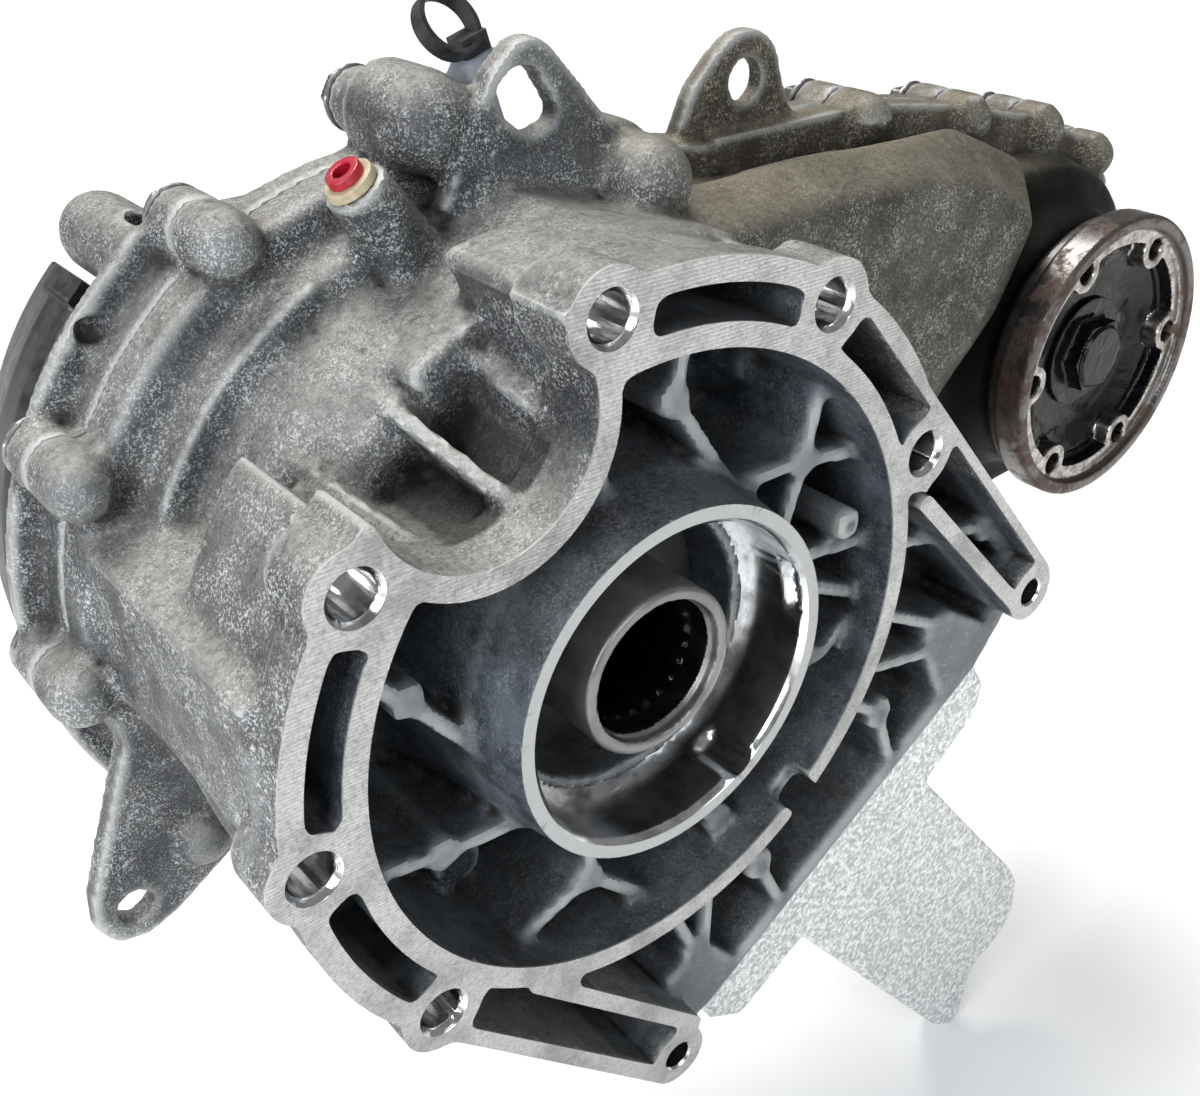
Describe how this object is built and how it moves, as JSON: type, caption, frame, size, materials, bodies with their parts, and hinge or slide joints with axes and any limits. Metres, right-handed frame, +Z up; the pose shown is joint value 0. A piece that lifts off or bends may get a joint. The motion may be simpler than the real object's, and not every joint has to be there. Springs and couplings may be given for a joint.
{
  "type": "single-speed transfer case with centre differential",
  "caption": "Single-speed transfer case: a ribbed bell housing and splined input hub, a bevel centre differential and a chain case carrying an offset front output flange.",
  "frame": {"origin": "on the input axis, in the plane of the bell housing's machined face", "axes": "+X from the input axis to the front output axis, +Y to the rear output, +Z up"},
  "size_m": [0.462, 0.212, 0.4127],
  "materials": {
    "cast_aluminium": "weathered casting, milled on the joint faces",
    "zinc_steel": "satin",
    "bright_steel": "ground",
    "dark_steel": "satin",
    "carrier_iron": "cast",
    "rusty_steel": "rusted",
    "black_rubber": "matte",
    "black_paint": "gloss",
    "copper": "soft",
    "ivory_plastic": "matte",
    "red_plastic": "gloss",
    "clear_plastic": "translucent",
    "black_plastic": "matte"
  },
  "bodies": {
    "case": {"front_case": "cast_aluminium", "rear_case": "cast_aluminium", "case_bolts": "zinc_steel", "case_dowels": "bright_steel", "fill_plug": "zinc_steel", "drain_plug": "zinc_steel", "plug_washers": "copper", "input_seal": "black_rubber", "front_output_seal": "black_rubber", "rear_output_seal": "black_rubber", "input_bearing_outer": "bright_steel", "sprocket_bearing_outer": "bright_steel", "rear_bearing_outer": "bright_steel", "front_shaft_bearing_outers": "bright_steel", "drive_chain": "dark_steel", "breather_bush": "ivory_plastic", "breather_collar": "red_plastic", "tie_mount": "clear_plastic", "cable_tie": "black_plastic", "rear_shield": "black_plastic"},
    "front_drive": {"sprocket_tube": "dark_steel", "drive_sprocket": "dark_steel", "sprocket_bearing_inner": "bright_steel", "sprocket_bearing_balls": "bright_steel"},
    "carrier": {"input_shaft": "dark_steel", "spider": "dark_steel", "carrier_drum": "carrier_iron", "carrier_cover": "carrier_iron", "carrier_screws": "zinc_steel", "input_bearing_inner": "bright_steel", "input_bearing_balls": "bright_steel"},
    "rear_output": {"rear_side_gear": "dark_steel", "rear_output_shaft": "dark_steel", "rear_flange": "rusty_steel", "rear_flange_nut": "bright_steel", "rear_bearing_inner": "bright_steel", "rear_bearing_balls": "bright_steel"},
    "front_output": {"front_output_shaft": "dark_steel", "driven_sprocket": "dark_steel", "front_flange": "rusty_steel", "front_flange_nut": "bright_steel", "dust_shield": "black_paint", "front_shaft_bearing_inners": "bright_steel", "front_shaft_bearing_balls": "bright_steel"},
    "pinion_right": {"pinion_right": "dark_steel"},
    "pinion_low": {"pinion_low": "dark_steel"},
    "pinion_left": {"pinion_left": "dark_steel"},
    "pinion_top": {"pinion_top": "dark_steel"}
  },
  "joints": [
    {"name": "front_drive_spin", "type": "hinge", "parent": "case", "child": "front_drive", "pos_m": [0, 0, 0], "axis": [0, 1, 0], "continuous": true},
    {"name": "front_output_spin", "type": "hinge", "parent": "case", "child": "front_output", "pos_m": [0.26194, 0, 0], "axis": [0, 1, 0], "continuous": true},
    {"name": "carrier_spin", "type": "hinge", "parent": "front_drive", "child": "carrier", "pos_m": [0, 0, 0], "axis": [0, 1, 0], "continuous": true},
    {"name": "rear_output_spin", "type": "hinge", "parent": "front_drive", "child": "rear_output", "pos_m": [0, 0, 0], "axis": [0, 1, 0], "continuous": true},
    {"name": "pinion_right_spin", "type": "hinge", "parent": "carrier", "child": "pinion_right", "pos_m": [0, 0.141, 0], "axis": [1, 0, 0], "continuous": true},
    {"name": "pinion_low_spin", "type": "hinge", "parent": "carrier", "child": "pinion_low", "pos_m": [0, 0.141, 0], "axis": [0, 0, -1], "continuous": true},
    {"name": "pinion_left_spin", "type": "hinge", "parent": "carrier", "child": "pinion_left", "pos_m": [0, 0.141, 0], "axis": [-1, 0, 0], "continuous": true},
    {"name": "pinion_top_spin", "type": "hinge", "parent": "carrier", "child": "pinion_top", "pos_m": [0, 0.141, 0], "axis": [0, 0, 1], "continuous": true}
  ],
  "couplings": [
    {"joint": "front_output_spin", "follows": "front_drive_spin", "ratio": 1},
    {"joint": "rear_output_spin", "follows": "carrier_spin", "ratio": 2},
    {"joint": "pinion_right_spin", "follows": "carrier_spin", "ratio": -2},
    {"joint": "pinion_low_spin", "follows": "carrier_spin", "ratio": -2},
    {"joint": "pinion_left_spin", "follows": "carrier_spin", "ratio": -2},
    {"joint": "pinion_top_spin", "follows": "carrier_spin", "ratio": -2}
  ]
}
